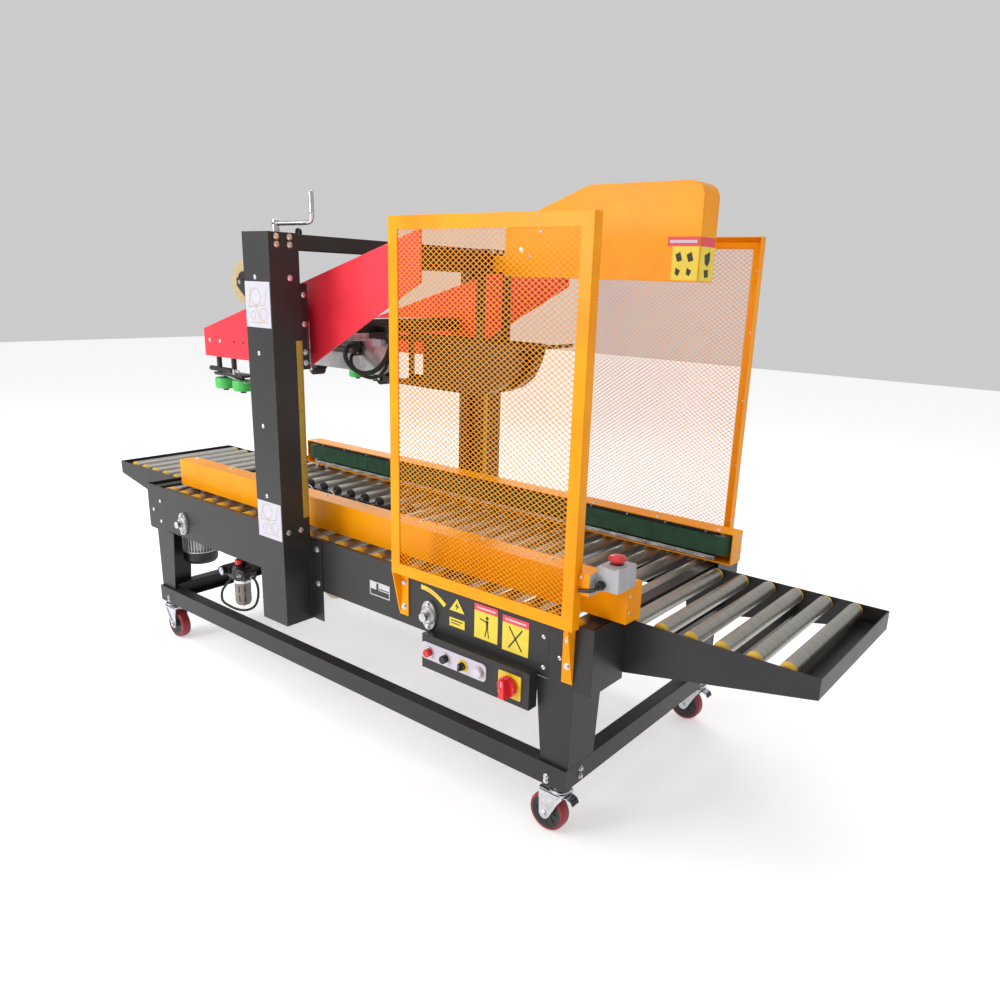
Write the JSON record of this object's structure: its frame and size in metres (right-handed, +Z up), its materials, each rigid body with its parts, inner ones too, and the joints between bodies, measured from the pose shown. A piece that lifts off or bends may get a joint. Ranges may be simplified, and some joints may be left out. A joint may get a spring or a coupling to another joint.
{
  "type": "carton sealing machine",
  "caption": "Free-standing carton sealer on castors: roller bed with side belt drives, tape head lifted between two columns, mesh guards, sloped infeed and outfeed roller tables.",
  "frame": {"origin": "on the floor, at the centre of the bounding box", "axes": "+X along the bed towards the infeed table, +Y across the bed to the side without controls, +Z up"},
  "size_m": [2.79, 0.94, 1.508],
  "materials": {
    "charcoal_paint": "satin",
    "orange_paint": "gloss",
    "red_paint": "gloss",
    "black_paint": "satin",
    "roller_steel": "zinc plated",
    "bright_steel": "polished",
    "plain_steel": "satin",
    "cast_aluminium": "cast",
    "green_belt": "ribbed",
    "black_rubber": "matte",
    "castor_tread": "matte",
    "green_wheel": "matte",
    "pale_plate": "satin",
    "red_plastic": "gloss",
    "black_plastic": "matte",
    "yellow_plastic": "gloss",
    "grey_box": "satin",
    "tape": "gloss"
  },
  "bodies": {
    "frame": {"side_panels": "charcoal_paint", "legs": "charcoal_paint", "base_rails": "charcoal_paint", "columns": "charcoal_paint", "top_beam": "charcoal_paint", "bed_crossbars": "charcoal_paint", "infeed_table": "charcoal_paint", "outfeed_table": "charcoal_paint", "infeed_rollers": "roller_steel", "outfeed_rollers": "roller_steel", "bed_rollers": "roller_steel", "near_guard": "orange_paint", "far_guard": "orange_paint", "control_box": "charcoal_paint", "control_plates": "pale_plate", "estop_box": "grey_box", "frl_unit": "black_plastic", "air_hose": "black_rubber", "shaft_bearings": "bright_steel", "frame_bolts": "bright_steel", "bottom_cartridge": "plain_steel"},
    "head": {"head_side_plates": "red_paint", "head_carriage": "black_paint", "folding_shoe": "black_paint", "kicker_housing": "orange_paint", "top_cartridge": "plain_steel"},
    "crank_and_near_screw": {"height_crank": "bright_steel", "near_lift_screw": "plain_steel"},
    "far_screw": {"far_lift_screw": "plain_steel"},
    "near_side_drive": {"near_belt_cover": "orange_paint", "near_belt_drive": "green_belt"},
    "far_side_drive": {"far_belt_cover": "orange_paint", "far_belt_drive": "green_belt"},
    "rear_shaft": {"rear_width_shaft": "plain_steel"},
    "front_shaft": {"front_width_shaft": "plain_steel"},
    "kicker": {"kicker_arm": "plain_steel"},
    "upper_roll": {"top_tape_roll": "tape"},
    "lower_roll": {"bottom_tape_roll": "tape"},
    "upper_apply": {"top_apply_arm": "black_paint"},
    "upper_wipe": {"top_wipe_arm": "black_paint"},
    "lower_apply": {"bottom_apply_arm": "bright_steel"},
    "lower_wipe": {"bottom_wipe_arm": "bright_steel"},
    "stop_push": {"stop_button": "red_plastic"},
    "start_push": {"start_button": "black_plastic"},
    "selector": {"selector_switch": "yellow_plastic"},
    "estop_push": {"estop_button": "red_plastic"},
    "isolator": {"isolator_knob": "red_plastic"},
    "regulator": {"regulator_knob": "red_plastic"},
    "infeed_near_swivel": {"infeed_near_fork": "bright_steel"},
    "infeed_near_roll": {"infeed_near_wheel": "castor_tread"},
    "infeed_far_swivel": {"infeed_far_fork": "bright_steel"},
    "infeed_far_roll": {"infeed_far_wheel": "castor_tread"},
    "outfeed_near_swivel": {"outfeed_near_fork": "bright_steel"},
    "outfeed_near_roll": {"outfeed_near_wheel": "castor_tread"},
    "outfeed_far_swivel": {"outfeed_far_fork": "bright_steel"},
    "outfeed_far_roll": {"outfeed_far_wheel": "castor_tread"},
    "near_front_press": {"near_front_press_wheel": "green_wheel"},
    "near_rear_press": {"near_rear_press_wheel": "green_wheel"},
    "far_front_press": {"far_front_press_wheel": "green_wheel"},
    "far_rear_press": {"far_rear_press_wheel": "green_wheel"}
  },
  "joints": [
    {"name": "head_lift", "type": "slide", "parent": "frame", "child": "head", "axis": [0, 0, 1], "range_m": [-0.26, 0.055]},
    {"name": "crank_turn", "type": "hinge", "parent": "frame", "child": "crank_and_near_screw", "pos_m": [-0.088, -0.402, 1], "axis": [0, 0, 1], "range_deg": [-18720, 3960]},
    {"name": "far_screw_turn", "type": "hinge", "parent": "frame", "child": "far_screw", "pos_m": [-0.088, 0.402, 1], "axis": [0, 0, 1], "range_deg": [-18720, 3960]},
    {"name": "near_drive_slide", "type": "slide", "parent": "frame", "child": "near_side_drive", "axis": [0, 1, 0], "range_m": [-0.02, 0.13]},
    {"name": "far_drive_slide", "type": "slide", "parent": "frame", "child": "far_side_drive", "axis": [0, 1, 0], "range_m": [-0.13, 0.02]},
    {"name": "rear_shaft_turn", "type": "hinge", "parent": "frame", "child": "rear_shaft", "pos_m": [-0.717, 0, 0.455], "axis": [0, 1, 0], "range_deg": [-1440, 9360]},
    {"name": "front_shaft_turn", "type": "hinge", "parent": "frame", "child": "front_shaft", "pos_m": [0.447, 0, 0.455], "axis": [0, 1, 0], "range_deg": [-1440, 9360]},
    {"name": "kicker_swing", "type": "hinge", "parent": "head", "child": "kicker", "pos_m": [0.44, 0, 1.36], "axis": [0, 1, 0], "range_deg": [0, 70]},
    {"name": "upper_roll_turn", "type": "hinge", "parent": "head", "child": "upper_roll", "pos_m": [-0.812, 0, 1.248], "axis": [0, 1, 0], "continuous": true},
    {"name": "lower_roll_turn", "type": "hinge", "parent": "frame", "child": "lower_roll", "pos_m": [-0.385, 0, 0.245], "axis": [0, 1, 0], "continuous": true},
    {"name": "upper_apply_swing", "type": "hinge", "parent": "head", "child": "upper_apply", "pos_m": [-0.19, 0, 1.04], "axis": [0, -1, 0], "range_deg": [0, 35], "stiffness_Nm_per_rad": 6, "springref_deg": -22.92},
    {"name": "upper_wipe_swing", "type": "hinge", "parent": "head", "child": "upper_wipe", "pos_m": [-0.38, 0, 1.04], "axis": [0, 1, 0], "range_deg": [0, 35]},
    {"name": "lower_apply_swing", "type": "hinge", "parent": "frame", "child": "lower_apply", "pos_m": [-0.2, 0, 0.47], "axis": [0, 1, 0], "range_deg": [0, 25], "stiffness_Nm_per_rad": 10, "springref_deg": -34.38},
    {"name": "lower_wipe_swing", "type": "hinge", "parent": "frame", "child": "lower_wipe", "pos_m": [-0.51, 0, 0.47], "axis": [0, -1, 0], "range_deg": [0, 25]},
    {"name": "stop_travel", "type": "slide", "parent": "frame", "child": "stop_push", "axis": [0, 1, 0], "range_m": [0, 0.004], "stiffness_N_per_m": 300, "springref_m": -0.001},
    {"name": "start_travel", "type": "slide", "parent": "frame", "child": "start_push", "axis": [0, 1, 0], "range_m": [0, 0.004], "stiffness_N_per_m": 300, "springref_m": -0.001},
    {"name": "selector_turn", "type": "hinge", "parent": "frame", "child": "selector", "pos_m": [0.594, -0.42, 0.372], "axis": [0, -1, 0], "range_deg": [-45, 45]},
    {"name": "estop_travel", "type": "slide", "parent": "frame", "child": "estop_push", "axis": [0, 0, -1], "range_m": [0, 0.006], "stiffness_N_per_m": 600, "springref_m": -0.002},
    {"name": "isolator_turn", "type": "hinge", "parent": "frame", "child": "isolator", "pos_m": [0.74, -0.42, 0.369], "axis": [0, -1, 0], "range_deg": [0, 90]},
    {"name": "regulator_turn", "type": "hinge", "parent": "frame", "child": "regulator", "pos_m": [-0.455, -0.343, 0.37], "axis": [0, 0, 1], "range_deg": [-720, 720]},
    {"name": "infeed_near_castor_swivel", "type": "hinge", "parent": "frame", "child": "infeed_near_swivel", "pos_m": [0.866, -0.357, 0.12], "axis": [0, 0, 1], "continuous": true},
    {"name": "infeed_near_castor_spin", "type": "hinge", "parent": "infeed_near_swivel", "child": "infeed_near_roll", "pos_m": [0.838, -0.357, 0.05], "axis": [0, 1, 0], "continuous": true},
    {"name": "infeed_far_castor_swivel", "type": "hinge", "parent": "frame", "child": "infeed_far_swivel", "pos_m": [0.866, 0.357, 0.12], "axis": [0, 0, 1], "continuous": true},
    {"name": "infeed_far_castor_spin", "type": "hinge", "parent": "infeed_far_swivel", "child": "infeed_far_roll", "pos_m": [0.838, 0.357, 0.05], "axis": [0, 1, 0], "continuous": true},
    {"name": "outfeed_near_castor_swivel", "type": "hinge", "parent": "frame", "child": "outfeed_near_swivel", "pos_m": [-0.866, -0.357, 0.12], "axis": [0, 0, 1], "continuous": true},
    {"name": "outfeed_near_castor_spin", "type": "hinge", "parent": "outfeed_near_swivel", "child": "outfeed_near_roll", "pos_m": [-0.838, -0.357, 0.05], "axis": [0, 1, 0], "continuous": true},
    {"name": "outfeed_far_castor_swivel", "type": "hinge", "parent": "frame", "child": "outfeed_far_swivel", "pos_m": [-0.866, 0.357, 0.12], "axis": [0, 0, 1], "continuous": true},
    {"name": "outfeed_far_castor_spin", "type": "hinge", "parent": "outfeed_far_swivel", "child": "outfeed_far_roll", "pos_m": [-0.838, 0.357, 0.05], "axis": [0, 1, 0], "continuous": true},
    {"name": "near_front_press_spin", "type": "hinge", "parent": "head", "child": "near_front_press", "pos_m": [-0.472, -0.275, 0.94], "axis": [0, 0, 1], "continuous": true},
    {"name": "near_rear_press_spin", "type": "hinge", "parent": "head", "child": "near_rear_press", "pos_m": [-0.567, -0.275, 0.94], "axis": [0, 0, 1], "continuous": true},
    {"name": "far_front_press_spin", "type": "hinge", "parent": "head", "child": "far_front_press", "pos_m": [-0.472, 0.275, 0.94], "axis": [0, 0, 1], "continuous": true},
    {"name": "far_rear_press_spin", "type": "hinge", "parent": "head", "child": "far_rear_press", "pos_m": [-0.567, 0.275, 0.94], "axis": [0, 0, 1], "continuous": true}
  ],
  "couplings": [
    {"joint": "crank_turn", "follows": "head_lift", "rad_per_m": 1256.6},
    {"joint": "far_screw_turn", "follows": "head_lift", "rad_per_m": 1256.6},
    {"joint": "far_drive_slide", "follows": "near_drive_slide", "ratio": -1},
    {"joint": "rear_shaft_turn", "follows": "near_drive_slide", "rad_per_m": 1256.6},
    {"joint": "front_shaft_turn", "follows": "near_drive_slide", "rad_per_m": 1256.6},
    {"joint": "upper_wipe_swing", "follows": "upper_apply_swing", "ratio": 1},
    {"joint": "lower_wipe_swing", "follows": "lower_apply_swing", "ratio": 1}
  ]
}
